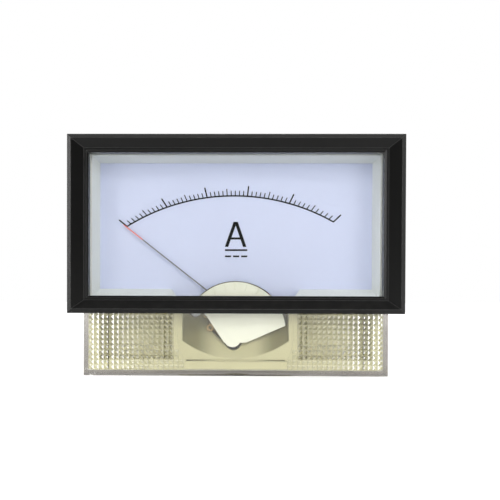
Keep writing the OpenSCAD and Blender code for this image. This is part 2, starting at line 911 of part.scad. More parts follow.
module movement_frame() {
    color(tin)
        difference() {
            slab(-frame_t, 0)
                union() {
                    rect(-pole_half, pole_half, pz - pole_fall, pz + pole_rise);
                    ear_outline();
                }
            rod(plate_hole_r, -frame_t - 1, 1, 0, pz);
            screw_holes(ear_places, 1.3, -frame_t - 1, 1);
            screw_holes(clamp_places, clamp_screw_r + pin_gap, -frame_t - 1, 1);
            screw_holes([[-leg_x, pz], [leg_x, pz]], 0.6 + pin_gap, -frame_t - 1, 1);
        }
}

// A round-headed screw that goes in along +Y, with a slot
module slotted_screw(head_r, head_t, shank_r, len) {
    difference() {
        union() {
            rod(head_r, -head_t, 0);
            rod(shank_r, -eps, len);
        }
        block([-head_r - 1, -head_t - 1, -0.2], [head_r + 1, -head_t * 0.5, 0.2]);
    }
}

module frame_screws() {
    color(steel)
        for (p = ear_places)
            translate([p[0], -frame_t, p[1]])
                slotted_screw(ear_head_r, ear_head_t, boss_hole - pin_gap, ear_screw_len);
}

// One pole piece: a bored tip, and a leg beside the magnet
module pole() {
    color(steel)
        difference() {
            slab(0, core_len)
                difference() {
                    union() {
                        rect(pole_gap, pole_half, pz - pole_fall, tip_z);
                        rect(magnet_half, pole_half, tip_z - eps, pz + pole_rise);
                    }
                    translate([0, pz])
                        circle(r = bore_r);
                }
            screw_holes(clamp_places, clamp_screw_r + pin_gap, -1, core_len + 1);
        }
}

module pole_right() {
    pole();
}

module pole_left() {
    mirror([1, 0, 0])
        pole();
}

module magnet() {
    color([0.35, 0.35, 0.37])
        block([-magnet_half, 0, tip_z + 2], [magnet_half, core_len, pz + pole_rise]);
}

module core() {
    color(steel)
        rod(core_r, 0, core_len, 0, pz);
}

// A bronze wedge between the pole tips that carries the core
module core_bracket() {
    color(brass)
        difference() {
            slab(0, core_len)
                union() {
                    rect(-1.5, 1.5, pz, tip_z);
                    rect(-pole_gap, pole_gap, pz + bore_r, tip_z + 2);
                }
            rod(core_r + pin_gap, -1, core_len + 1, 0, pz);
            block([-5, -1, pz - 1], [5, core_len + 1, pz]);
            // The wedge is narrower than the gap beyond the bore
            both_sides()
                block([pole_gap - pin_gap, -1, pz], [5, core_len + 1, tip_z + 5]);
        }
}

module clamp_plate() {
    color(tin)
        difference() {
            slab(core_len, core_len + clamp_t)
                rect(-pole_half, pole_half, pz - pole_fall, pz + pole_rise);
            rod(plate_hole_r, core_len - 1, core_len + clamp_t + 1, 0, pz);
            screw_holes(clamp_places, clamp_screw_r + pin_gap, core_len - 1, core_len + clamp_t + 1);
            screw_holes([[-leg_x, pz], [leg_x, pz]], 0.6 + pin_gap, core_len - 1, core_len + 3);
        }
}

module clamp_screws() {
    color(steel)
        for (p = clamp_places)
            translate([p[0], core_len + clamp_t, p[1]])
                mirror([0, 1, 0])
                    slotted_screw(1.4, 0.8, clamp_screw_r, core_len + clamp_t + frame_t - 0.3);
}

// A bridge: a bar on two legs, with an eye for the jewel screw
module bridge(bar0, bar1, leg0, leg1) {
    difference() {
        union() {
            slab(bar0, bar1)
                union() {
                    rect(-pole_half, pole_half, pz - leg_half, pz + leg_half);
                    translate([0, pz])
                        circle(r = 2.4);
                }
            both_sides()
                block([leg_in, leg0, pz - leg_half], [pole_half, leg1, pz + leg_half]);
        }
        rod(jewel_r + pin_gap, bar0 - 1, bar1 + 1, 0, pz);
        screw_holes([[-leg_x, pz], [leg_x, pz]], 0.6 + pin_gap, min(bar0, leg0) - 1, max(bar1, leg1) + 1);
    }
}

module front_bridge() {
    color(brass)
        bridge(bridge_front, bridge_back, bridge_back - eps, -frame_t);
}

module rear_bridge() {
    color(brass)
        union() {
            bridge(rear_bridge_front, rear_bridge_front + bridge_t, rear_leg, rear_bridge_front + eps);
            // Lug for the outer end of the rear hairspring
            block([-spring_out - 1, rear_spring_y, pz - 0.5],
                  [-spring_out - 0.1, rear_bridge_front + eps, pz + 0.5]);
        }
}

module bridge_screws() {
    color(steel)
        for (x = [-leg_x, leg_x]) {
            translate([x, bridge_front, pz])
                slotted_screw(1, 0.7, 0.6, -bridge_front - 0.4);
            translate([x, rear_bridge_front + bridge_t, pz])
                mirror([0, 1, 0])
                    slotted_screw(1, 0.7, 0.6, rear_bridge_front + bridge_t - core_len - 0.2);
        }
}

// A jewel screw along -Y, from the bridge's inner face at y = 0
module jewel_screw(len) {
    difference() {
        rod(jewel_r, -len, 0);
        rod(jewel_bore, -1.2, 1);
        block([-2, -len - 1, -0.15], [2, -len + 0.4, 0.15]);
    }
}

module front_jewel_screw() {
    color(brass)
        translate([0, bridge_back, pz])
            jewel_screw(bridge_back - nut_front + jewel_nut_t + 0.1);
}

module rear_jewel_screw() {
    color(brass)
        translate([0, rear_bridge_front, pz])
            mirror([0, 1, 0])
                jewel_screw(3.2);
}

module jewel_nut(y0) {
    difference() {
        hex_rod(3.4, y0, y0 + jewel_nut_t, 0, pz);
        rod(jewel_r + pin_gap, y0 - 1, y0 + 2, 0, pz);
    }
}

module jewel_nuts() {
    color(brass) {
        jewel_nut(nut_front - jewel_nut_t);
        jewel_nut(rear_bridge_front + bridge_t);
    }
}

// ---- Moving coil ----

// A rectangular ring round the core, as seen along its turns
module coil_ring(inner, outer, end_in, end_out, w) {
    about_pivot(coil_deg)
        difference() {
            block([-outer, -end_out, -w / 2], [outer, core_len + end_out, w / 2]);
            block([-inner, -end_in, -w], [inner, core_len + end_in, w]);
        }
}

module coil_former() {
    color(tin)
        coil_ring(former_in, former_out, end_gap, end_gap + former_t, winding_w);
}

module coil_winding() {
    color([0.72, 0.38, 0.20])
        coil_ring(former_out, winding_out, end_gap + former_t, end_gap + former_t + winding_t,
                  winding_w - 0.4);
}

module front_staff() {
    color(steel)
        union() {
            rod(collet_r, pointer_back, coil_front, 0, pz);
            rod(spindle_r, pointer_front, pointer_back + eps, 0, pz);
            rod(tip_r, bridge_back - 0.9, pointer_front + eps, 0, pz);
        }
}

module rear_staff() {
    color(steel)
        union() {
            rod(collet_r, coil_back, rear_bridge_front - 0.4, 0, pz);
            rod(tip_r, coil_back + 1, rear_bridge_front + 0.9, 0, pz);
        }
}

// The pointer: hub, a root that narrows to a fine blade, and a short tail
module pointer() {
    root = 14;
    color([0.35, 0.30, 0.33])
        about_pivot(rest_deg)
            difference() {
                union() {
                    rod(1.7, pointer_front, pointer_back);
                    slab(pointer_front, pointer_back)
                        polygon([
                            [-tail_half, -tail_len], [-tail_half, 0], [-blade_w / 2, root],
                            [-blade_w / 2, pointer_len - 1], [0, pointer_len],
                            [blade_w / 2, pointer_len - 1], [blade_w / 2, root],
                            [tail_half, 0], [tail_half, -tail_len]
                        ]);
                }
                rod(spindle_r + pin_gap, pointer_front - 1, pointer_back + 1);
            }
}

module balance_weight() {
    color(brass)
        about_pivot(rest_deg)
            difference() {
                translate([0, pointer_back + 0.25, -tail_len + 0.2])
                    cylinder(r = 0.75, h = 1.9);
                block([-tail_half - pin_gap, pointer_front - pin_gap, -tail_len - 1],
                      [tail_half + pin_gap, pointer_back + pin_gap, 0]);
            }
}

// A flat spiral with its outer end in the given direction
module hairspring(y0, end_deg) {
    steps = round(spring_turns * 20);
    pitch = (spring_out - spring_in) / steps;
    ring = function (i, side) let (r = spring_in + pitch * i + side * spring_w / 2,
                                   a = end_deg - (steps - i) * 18) r * [sin(a), cos(a)];
    color([0.70, 0.45, 0.25])
        translate([0, 0, pz])
            slab(y0, y0 + spring_t)
                polygon(concat([for (i = [0:steps]) ring(i, 1)], [for (i = [steps:-1:0]) ring(i, -1)]));
}

module front_hairspring() {
    hairspring(front_spring_y, tab_deg);
}

module rear_hairspring() {
    hairspring(rear_spring_y, 270);
}

// ---- Zero adjuster ----

// The lever on the front jewel screw: a fork, and an arm that holds the spring's end
module zero_lever() {
    arm_end = pin_reach + 1.4;
    loop_r = 1.1;
    loop_at = 9;
    color(brass)
        difference() {
            union() {
                slab(lever_front, lever_back) {
                    translate([0, pz]) {
                        circle(r = lever_hub_r);
                        rotate(-fork_deg)
                            rect(-1.4, 1.4, 0, arm_end);
                        rotate(-tab_deg)
                            rect(-0.5, 0.5, 0, loop_at - loop_r + 0.3);
                        rotate(-tab_deg)
                            translate([0, loop_at])
                                circle(r = loop_r);
                    }
                }
                about_pivot(tab_deg)
                    block([-0.5, lever_back - eps, tab_in],
                          [0.5, front_spring_y + spring_t, tab_in + tab_t]);
            }
            rod(jewel_r + run_gap, lever_front - 1, lever_back + 1, 0, pz);
            about_pivot(tab_deg)
                rod(loop_r - 0.5, lever_front - 1, lever_back + 1, 0, loop_at);
            about_pivot(fork_deg)
                block([-pin_r - slot_gap, lever_front - 1, pin_reach - 1.4],
                      [pin_r + slot_gap, lever_back + 1, arm_end + 1]);
        }
}

module zero_adjuster() {
    shaft_back = recess_y + 3.4;
    color([0.10, 0.10, 0.10])
        difference() {
            union() {
                rod(adjuster_r, head_back - head_t, head_back, -adjuster_shift, adjuster_z);
                rod(adjuster_r - 0.6, head_back - eps, shaft_back, -adjuster_shift, adjuster_z);
                rod(pin_r, lever_front - 0.2, head_back - head_t + eps, pin_x, pin_z);
            }
            // Screwdriver slot at the rear
            block([-adjuster_shift - 3, shaft_back - 0.8, adjuster_z - 0.3],
                  [-adjuster_shift + 3, shaft_back + 1, adjuster_z + 0.3]);
        }
}

// ---- Terminals and studs ----

shunt_t = 1;

// The shunt: two round ends joined by a narrower bridge, with a saw cut for trimming
module shunt() {
    color([0.68, 0.48, 0.30])
        difference() {
            slab(barrel_back - shunt_t, barrel_back)
                union() {
                    rect(-terminal_x, terminal_x, -2.4, 2.4);
                    for (x = [-terminal_x, terminal_x])
                        translate([x, 0])
                            circle(r = 4.6);
                }
            for (x = [-terminal_x, terminal_x])
                rod(terminal_r + pin_gap, barrel_back - 3, barrel_back + 1, x, 0);
            block([-0.3, barrel_back - 3, 0.4], [0.3, barrel_back + 1, 4]);
        }
}

// A wire along a list of points
module wire(points, r) {
    for (i = [0:len(points) - 2])
        hull() {
            translate(points[i])
                sphere(r = r, $fn = 8);
            translate(points[i + 1])
                sphere(r = r, $fn = 8);
        }
}

lead_r = 0.4;

// Two stiff leads: shunt to rear bridge, and shunt to front bridge past the frame
module coil_leads() {
    shunt_y = barrel_back - shunt_t - lead_r;
    // Where the leads leave the shunt
    start_x = terminal_x - 6;
    start_z = 1;
    lead_x = pole_half + 1.6;
    lead_z = pz + 4.4;
    color([0.75, 0.15, 0.12]) {
        wire([[-start_x, shunt_y, start_z], [-start_x, rear_bridge_front + 3, pz + 6],
              [-start_x, rear_bridge_front + 0.5, pz + leg_half + lead_r]], lead_r);
        wire([[start_x, shunt_y, start_z], [lead_x, core_len + 2, lead_z], [lead_x, bridge_back, lead_z],
              [leg_x, bridge_back, pz + leg_half + lead_r]], lead_r);
    }
}

// What is on both terminals
module on_terminals() {
    for (x = [-terminal_x, terminal_x])
        translate([x, 0, 0])
            children();
}

stack_1 = barrel_depth;
stack_2 = stack_1 + washer_t;
stack_3 = stack_2 + nut_t;
stack_4 = stack_3 + washer_t;
stack_5 = stack_4 + washer_t;

module terminal_studs() {
    head_y = barrel_back - shunt_t;
    color(brass)
        on_terminals()
            union() {
                hex_rod(nut_af, head_y - 2.4, head_y);
                rod(terminal_r, head_y - eps, barrel_depth + terminal_len - 0.5);
                translate([0, barrel_depth + terminal_len - 0.5 - eps, 0])
                    rotate([-90, 0, 0])
                        cylinder(r1 = terminal_r, r2 = terminal_r - 0.5, h = 0.5);
            }
}

// A flat ring on a terminal
module washer(r, y0, y1) {
    difference() {
        rod(r, y0, y1);
        rod(terminal_r + pin_gap, y0 - 1, y1 + 1);
    }
}

module clamp_washers() {
    color(tin)
        on_terminals()
            washer(nut_af / 2 + 1.2, stack_1, stack_2);
}

module terminal_nut(y0, y1) {
    difference() {
        hex_rod(nut_af, y0, y1);
        rod(terminal_r + pin_gap, y0 - 1, y1 + 1);
    }
}

module clamp_nuts() {
    color(brass)
        on_terminals()
            terminal_nut(stack_2, stack_3);
}

module terminal_washers() {
    color(tin)
        on_terminals()
            washer(nut_af / 2 + 0.8, stack_3, stack_4);
}

// A split ring
module spring_washers() {
    color(steel)
        on_terminals()
            difference() {
                washer(terminal_r + 1.5, stack_4, stack_5);
                block([-0.4, stack_4 - 1, 0], [0.4, stack_5 + 1, terminal_r + 3]);
            }
}

module terminal_nuts() {
    color(brass)
        on_terminals()
            terminal_nut(stack_5, stack_5 + nut_t);
}

// Each stud has a wider foot that is pressed into the flange, flush with its back
module mounting_studs() {
    color(steel)
        stud_places()
            union() {
                rod(stud_foot_r, -flange_t - 1 + pin_gap, 0);
                rod(stud_r, -eps, stud_len - 0.4);
                translate([0, stud_len - 0.4 - eps, 0])
                    rotate([-90, 0, 0])
                        cylinder(r1 = stud_r, r2 = stud_r - 0.4, h = 0.4);
            }
}

bezel_frame();
front_cover();
housing();
dial_surround();
dial_plate();
scale_marks();
movement_cover();
movement_frame();
frame_screws();
pole_left();
pole_right();
magnet();
core();
core_bracket();
clamp_plate();
clamp_screws();
front_bridge();
rear_bridge();
bridge_screws();
front_jewel_screw();
rear_jewel_screw();
jewel_nuts();
coil_former();
coil_winding();
front_staff();
rear_staff();
pointer();
balance_weight();
front_hairspring();
rear_hairspring();
zero_lever();
zero_adjuster();
shunt();
coil_leads();
terminal_studs();
clamp_washers();
clamp_nuts();
terminal_washers();
spring_washers();
terminal_nuts();
mounting_studs();
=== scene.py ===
import math

import bmesh
import bpy
from mathutils import Matrix, Vector


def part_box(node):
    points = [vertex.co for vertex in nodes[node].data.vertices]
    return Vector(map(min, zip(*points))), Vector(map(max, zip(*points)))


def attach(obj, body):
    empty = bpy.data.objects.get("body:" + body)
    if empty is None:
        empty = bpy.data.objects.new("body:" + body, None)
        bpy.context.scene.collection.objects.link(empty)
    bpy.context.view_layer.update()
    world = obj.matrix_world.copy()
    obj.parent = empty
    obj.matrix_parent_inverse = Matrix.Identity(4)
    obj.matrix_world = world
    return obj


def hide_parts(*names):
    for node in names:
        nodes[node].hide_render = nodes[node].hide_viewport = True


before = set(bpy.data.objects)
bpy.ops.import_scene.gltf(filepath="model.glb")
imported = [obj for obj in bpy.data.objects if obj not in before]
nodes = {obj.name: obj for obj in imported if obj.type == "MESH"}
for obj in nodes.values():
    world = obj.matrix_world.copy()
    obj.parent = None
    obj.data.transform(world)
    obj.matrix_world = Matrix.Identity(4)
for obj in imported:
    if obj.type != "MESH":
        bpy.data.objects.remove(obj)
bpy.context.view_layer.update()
print("frame loaded:", len(nodes), "nodes")

mm = 0.001

cameraValues = {
    "place": (-0.044, -256.25, -7.66),
    "yaw": 0.0154,
    "pitch": -0.0146,
    "roll": 0.0032,
    "focal": 57.87,
    "sensor": 36,
    "shift": (0.054, 0.1111),
    "clip": (0.01, 10),
}


def makeCamera(values):
    data = bpy.data.cameras.new("viewCamera")
    data.lens = values["focal"]
    data.sensor_width = values["sensor"]
    data.shift_x, data.shift_y = values["shift"]
    data.clip_start, data.clip_end = values["clip"]
    camera = bpy.data.objects.new("viewCamera", data)
    yaw, pitch, roll = values["yaw"], values["pitch"], values["roll"]
    ahead = Vector((-math.sin(yaw) * math.cos(pitch), math.cos(yaw) * math.cos(pitch), math.sin(pitch)))
    level = Vector((math.cos(yaw), math.sin(yaw), 0))
    above = level.cross(ahead)
    right = level * math.cos(roll) + above * math.sin(roll)
    up = above * math.cos(roll) - level * math.sin(roll)
    turn = Matrix((right, up, -ahead)).transposed()
    camera.matrix_world = Matrix.Translation(Vector(values["place"]) * mm) @ turn.to_4x4()
    bpy.context.scene.collection.objects.link(camera)
    bpy.context.scene.camera = camera


makeCamera(cameraValues)
print("camera placed")


def addNode(tree, kind, values=None, **settings):
    made = tree.nodes.new(kind)
    for key, value in settings.items():
        setattr(made, key, value)
    for key, value in (values or {}).items():
        if isinstance(value, bpy.types.NodeSocket):
            tree.links.new(value, made.inputs[key])
        else:
            made.inputs[key].default_value = value
    return made


def doMath(tree, operation, a, b=0.0, clamp=False):
    return addNode(tree, "ShaderNodeMath", {0: a, 1: b}, operation=operation, use_clamp=clamp).outputs[0]


def mixColour(tree, factor, a, b):
    return addNode(tree, "ShaderNodeMix", {0: factor, 6: a, 7: b}, data_type="RGBA").outputs[2]


def mixValue(tree, factor, a, b):
    return addNode(tree, "ShaderNodeMix", {0: factor, 2: a, 3: b}).outputs[0]


# 0 to 1 while a value runs from low to high
def ramp(tree, value, low, high, **settings):
    made = addNode(tree, "ShaderNodeMapRange", {"Value": value, "From Min": low, "From Max": high},
                   **settings)
    return made.outputs[0]


# Low to high while a value runs from 0 to 1
def spread(tree, value, low, high):
    made = addNode(tree, "ShaderNodeMapRange", {"Value": value, "To Min": low, "To Max": high})
    return made.outputs[0]


def objectPlace(tree):
    return addNode(tree, "ShaderNodeTexCoord").outputs["Object"]


def faceNormal(tree):
    return addNode(tree, "ShaderNodeNewGeometry").outputs["Normal"]


def addNoise(tree, place, scale, detail, rough=0.5):
    made = addNode(tree, "ShaderNodeTexNoise",
                   {"Vector": place, "Scale": scale, "Detail": detail, "Roughness": rough})
    return made.outputs["Fac"]


def newGroup(name, inputs, outputs, kind="ShaderNodeTree"):
    group = bpy.data.node_groups.new(name, kind)
    for label, sort, start in inputs:
        socket = group.interface.new_socket(label, in_out="INPUT", socket_type=sort)
        if start is not None:
            socket.default_value = start
    for label, sort in outputs:
        group.interface.new_socket(label, in_out="OUTPUT", socket_type=sort)
    return group, group.nodes.new("NodeGroupInput"), group.nodes.new("NodeGroupOutput")


surfaceValues = {"blotchDetail": 3.0, "blotchRough": 0.55, "grainDetail": 2.0, "grainRough": 0.6,
                 "bevelSamples": 4, "edgeGain": 4.0}


# Moulded or machined surface: slow blotches, fine grain, rounded edges and a mask of those edges
def makeSurfaceGroup(values):
    group, given, out = newGroup(
        "madeSurface",
        [("Blotch Scale", "NodeSocketFloat", 60), ("Grain Scale", "NodeSocketFloat", 2500),
         ("Grain Depth", "NodeSocketFloat", 0.00001), ("Edge Radius", "NodeSocketFloat", 0.0002),
         ("Stretch", "NodeSocketVector", (1, 1, 1))],
        [("Normal", "NodeSocketVector"), ("Shade", "NodeSocketFloat"), ("Grain", "NodeSocketFloat"),
         ("Edge", "NodeSocketFloat")])
    stretched = addNode(group, "ShaderNodeVectorMath", {0: objectPlace(group), 1: given.outputs["Stretch"]},
                        operation="MULTIPLY").outputs[0]
    blotch = addNoise(group, stretched, given.outputs["Blotch Scale"], values["blotchDetail"],
                      values["blotchRough"])
    grain = addNoise(group, stretched, given.outputs["Grain Scale"], values["grainDetail"],
                     values["grainRough"])
    rounded = addNode(group, "ShaderNodeBevel", {"Radius": given.outputs["Edge Radius"]},
                      samples=values["bevelSamples"]).outputs["Normal"]
    bump = addNode(group, "ShaderNodeBump",
                   {"Strength": 1.0, "Distance": given.outputs["Grain Depth"], "Height": grain,
                    "Normal": rounded})
    along = addNode(group, "ShaderNodeVectorMath", {0: rounded, 1: faceNormal(group)},
                    operation="DOT_PRODUCT").outputs["Value"]
    turned = doMath(group, "SUBTRACT", 1.0, along)
    edge = doMath(group, "MULTIPLY", turned, values["edgeGain"], clamp=True)
    group.links.new(bump.outputs["Normal"], out.inputs["Normal"])
    group.links.new(blotch, out.inputs["Shade"])
    group.links.new(grain, out.inputs["Grain"])
    group.links.new(edge, out.inputs["Edge"])
    return group


dustValues = {"scale": 240.0, "detail": 5.0, "rough": 0.7, "facing": (0.2, 1.0), "specks": (0.42, 0.7),
              "colour": (0.55, 0.52, 0.46)}


# Fine dust that settles on faces that look up
def makeDustGroup(values):
    group, given, out = newGroup("settledDust", [("Amount", "NodeSocketFloat", 0.2)],
                                 [("Mask", "NodeSocketFloat")])
    cloud = addNoise(group, objectPlace(group), values["scale"], values["detail"], values["rough"])
    up = addNode(group, "ShaderNodeSeparateXYZ", {0: faceNormal(group)}).outputs["Z"]
    facing = ramp(group, up, *values["facing"])
    specks = ramp(group, cloud, *values["specks"])
    settled = doMath(group, "MULTIPLY", facing, specks)
    mask = doMath(group, "MULTIPLY", settled, given.outputs["Amount"], clamp=True)
    group.links.new(mask, out.inputs["Mask"])
    return group


surfaceGroup = makeSurfaceGroup(surfaceValues)
dustGroup = makeDustGroup(dustValues)


def startMaterial(name):
    material = bpy.data.materials.new(name)
    material.use_nodes = True
    tree = material.node_tree
    tree.nodes.clear()
    shader = tree.nodes.new("ShaderNodeBsdfPrincipled")
    out = tree.nodes.new("ShaderNodeOutputMaterial")
    tree.links.new(shader.outputs[0], out.inputs["Surface"])
    return material, tree, shader, out


def rgba(colour):
    return (colour[0], colour[1], colour[2], 1.0)


# Painted shade: a darker tone for the two sides of a moulding's bowl, where its steep walls are in shade,
# kept inside the given box
def paintedBowlShadeMask(tree, values):
    x, y, z = addNode(tree, "ShaderNodeSeparateXYZ", {0: objectPlace(tree)}).outputs
    away = doMath(tree, "ABSOLUTE", x)
    mask = ramp(tree, away, values["inner"] * mm, values["outer"] * mm, interpolation_type="SMOOTHSTEP")
    limits = ((away, "LESS_THAN", values["edge"]),
              (y, "GREATER_THAN", values["front"]), (y, "LESS_THAN", values["back"]),
              (z, "GREATER_THAN", values["low"]), (z, "LESS_THAN", values["high"]))
    for distance, side, limit in limits:
        mask = doMath(tree, "MULTIPLY", mask, doMath(tree, side, distance, limit * mm))
    return mask


# What a finish has where its own values don't say otherwise
finishDefaults = {"blotchScale": 60.0, "grainScale": 2500.0, "grainDepth": 0.000008, "edgeRadius": 0.0002,
                  "stretch": (1, 1, 1), "edgeWearAndHighlight": 0.2, "metallic": 0.0, "specular": 0.5, "coat": 0.0,
                  "coatRough": 0.12, "brushed": 0.0}


# One finish: a base colour with slow variation, worn edges (on the black bezel also a painted highlight),
# grain and dust, all from the values given
def makeFinish(name, ownValues):
    values = {**finishDefaults, **ownValues}
    material, tree, shader, out = startMaterial(name)
    surface = addNode(tree, "ShaderNodeGroup", node_tree=surfaceGroup)
    surface.inputs["Blotch Scale"].default_value = values["blotchScale"]
    surface.inputs["Grain Scale"].default_value = values["grainScale"]
    surface.inputs["Grain Depth"].default_value = values["grainDepth"]
    surface.inputs["Edge Radius"].default_value = values["edgeRadius"]
    surface.inputs["Stretch"].default_value = values["stretch"]
    colour = mixColour(tree, surface.outputs["Shade"], rgba(values["colour"]), rgba(values["second"]))
    # Pale edges: wear, and on the black bezel also a painted highlight along the ridges
    edgeWearAndHighlight = doMath(tree, "MULTIPLY", surface.outputs["Edge"], values["edgeWearAndHighlight"])
    colour = mixColour(tree, edgeWearAndHighlight, colour, rgba(values.get("wornEdgeAndHighlight", values["second"])))
    # Painted shade on the two sides of the bowl, mixed over the base colour
    if values.get("paintedBowlShade"):
        paintedBowlShade = values["paintedBowlShade"]
        colour = mixColour(tree, paintedBowlShadeMask(tree, paintedBowlShade), colour, rgba(paintedBowlShade["colour"]))
    if values.get("dust"):
        dust = addNode(tree, "ShaderNodeGroup", {"Amount": values["dust"]}, node_tree=dustGroup)
        colour = mixColour(tree, dust.outputs["Mask"], colour, rgba(dustValues["colour"]))
    tree.links.new(colour, shader.inputs["Base Color"])
    tree.links.new(spread(tree, surface.outputs["Grain"], *values["rough"]), shader.inputs["Roughness"])
    tree.links.new(surface.outputs["Normal"], shader.inputs["Normal"])
    shader.inputs["Metallic"].default_value = values["metallic"]
    shader.inputs["Specular IOR Level"].default_value = values["specular"]
    shader.inputs["Coat Weight"].default_value = values["coat"]
    shader.inputs["Coat Roughness"].default_value = values["coatRough"]
    shader.inputs["Anisotropic"].default_value = values["brushed"]
    return material


finishValues = {
    # The bezel's pale worn edges are partly wear and partly a painted highlight along its ridges
    "bezelBlack": {"colour": (0.007, 0.007, 0.0067), "second": (0.010, 0.010, 0.0095), "rough": (0.18, 0.28),
                   "specular": 0.18, "grainScale": 3200.0, "grainDepth": 0.000012, "edgeRadius": 0.0004,
                   "edgeWearAndHighlight": 0.6, "wornEdgeAndHighlight": (0.16, 0.16, 0.155), "dust": 0.015},
    "housingCream": {"colour": (0.57, 0.54, 0.335), "second": (0.51, 0.48, 0.28), "rough": (0.38, 0.55),
                     "blotchScale": 45.0, "grainScale": 2000.0, "grainDepth": 0.000012, "edgeRadius": 0.00025,
                     "edgeWearAndHighlight": 0.3, "wornEdgeAndHighlight": (0.72, 0.70, 0.50), "dust": 0.1,
                     # The bowl's sides get painted shade, a darker olive tone where the steep walls are in
                     # shade
                     "paintedBowlShade": {"front": -11.6, "back": -1.5, "low": -28.8, "high": -8.0, "inner": 5.0,
                                "outer": 13.0, "edge": 16.15, "colour": (0.19, 0.172, 0.066)}},
    "surroundWhite": {"colour": (0.80, 0.83, 0.82), "second": (0.74, 0.77, 0.76), "rough": (0.45, 0.62),
                      "grainScale": 2600.0, "grainDepth": 0.00001, "edgeRadius": 0.0002, "edgeWearAndHighlight": 0.15},
    "dialWhite": {"colour": (0.61, 0.66, 0.89), "second": (0.585, 0.635, 0.86), "rough": (0.55, 0.7),
                  "blotchScale": 30.0, "grainScale": 5000.0, "grainDepth": 0.000004, "edgeRadius": 0.0001,
                  "edgeWearAndHighlight": 0.0},
    "inkBlack": {"colour": (0.006, 0.006, 0.007), "second": (0.010, 0.010, 0.011), "rough": (0.5, 0.65),
                 "specular": 0.1, "grainScale": 6000.0, "grainDepth": 0.000004, "edgeRadius": 0.00003,
                 "edgeWearAndHighlight": 0.0},
    "shieldCream": {"colour": (0.87, 0.88, 0.77), "second": (0.84, 0.85, 0.73), "rough": (0.35, 0.5),
                    "blotchScale": 50.0, "grainScale": 2400.0, "grainDepth": 0.00001, "edgeRadius": 0.00025,
                    "edgeWearAndHighlight": 0.2, "wornEdgeAndHighlight": (0.9, 0.9, 0.78)},
    "magnetGrey": {"colour": (0.075, 0.073, 0.07), "second": (0.05, 0.049, 0.048), "rough": (0.5, 0.7),
                   "grainScale": 1500.0, "grainDepth": 0.00003, "edgeWearAndHighlight": 0.5, "wornEdgeAndHighlight": (0.2, 0.19, 0.18),
                   "metallic": 0.4},
    "copperWire": {"colour": (0.62, 0.24, 0.11), "second": (0.50, 0.17, 0.07), "rough": (0.25, 0.4),
                   "metallic": 0.9, "stretch": (1, 8, 1), "coat": 0.5},
    "aluminiumPressed": {"colour": (0.72, 0.73, 0.74), "second": (0.62, 0.63, 0.64), "rough": (0.25, 0.42),
                         "metallic": 1.0, "stretch": (1, 10, 1), "brushed": 0.4, "edgeWearAndHighlight": 0.3,
                         "wornEdgeAndHighlight": (0.85, 0.85, 0.85)},
    "adjusterBlack": {"colour": (0.008, 0.008, 0.008), "second": (0.015, 0.015, 0.015), "rough": (0.35, 0.5),
                      "grainScale": 3000.0, "grainDepth": 0.00001, "edgeWearAndHighlight": 0.2, "wornEdgeAndHighlight": (0.06, 0.06, 0.06)},
    "manganinSheet": {"colour": (0.52, 0.30, 0.16), "second": (0.44, 0.25, 0.13), "rough": (0.3, 0.45),
                      "metallic": 0.9, "stretch": (6, 1, 1), "edgeWearAndHighlight": 0.3, "wornEdgeAndHighlight": (0.7, 0.45, 0.28)},
    "leadRed": {"colour": (0.45, 0.02, 0.015), "second": (0.36, 0.015, 0.012), "rough": (0.35, 0.5)},
    "brassTurned": {"colour": (0.72, 0.50, 0.20), "second": (0.62, 0.42, 0.16), "rough": (0.2, 0.36),
                    "metallic": 1.0, "stretch": (1, 9, 1), "edgeWearAndHighlight": 0.4, "wornEdgeAndHighlight": (0.85, 0.66, 0.34),
                    "edgeRadius": 0.00015},
    "bronzeStrip": {"colour": (0.45, 0.32, 0.16), "second": (0.38, 0.26, 0.12), "rough": (0.25, 0.4),
                    "metallic": 1.0, "edgeWearAndHighlight": 0.3, "wornEdgeAndHighlight": (0.7, 0.45, 0.25)},
    "bronzeDark": {"colour": (0.30, 0.25, 0.13), "second": (0.22, 0.18, 0.09), "rough": (0.28, 0.45),
                   "metallic": 0.9, "edgeWearAndHighlight": 0.3, "wornEdgeAndHighlight": (0.5, 0.42, 0.22), "stretch": (1, 8, 1)},
    "tinnedBrass": {"colour": (0.66, 0.65, 0.62), "second": (0.56, 0.55, 0.52), "rough": (0.22, 0.38),
                    "metallic": 1.0, "edgeWearAndHighlight": 0.4, "wornEdgeAndHighlight": (0.8, 0.7, 0.45), "edgeRadius": 0.00015},
    "steelZinc": {"colour": (0.58, 0.58, 0.57), "second": (0.47, 0.47, 0.46), "rough": (0.24, 0.42),
                  "metallic": 1.0, "edgeWearAndHighlight": 0.4, "wornEdgeAndHighlight": (0.78, 0.78, 0.78), "edgeRadius": 0.00015,
                  "stretch": (1, 6, 1)},
}
finish = {name: makeFinish(name, values) for name, values in finishValues.items()}
print("finishes made:", len(finish))


# The clear cover lets the lamps through, and its faces bend what is behind them
coverValues = {"tint": (0.985, 0.985, 0.955), "shadowTint": (0.94, 0.94, 0.92), "index": 1.49, "rough": 0.02,
               "ripple": 0.000002, "rippleScale": 300.0, "rippleDetail": 2.0,
               # The dark rim tints are painted shade, seen through the rear rims of the walls
               "rimShade": (0.055, 0.048, 0.041), "rimShadeSecond": (0.10, 0.089, 0.078),
               "rimFrom": -0.9, "rimTo": -0.4, "cloudScale": 120.0, "cloudDetail": 3.0}


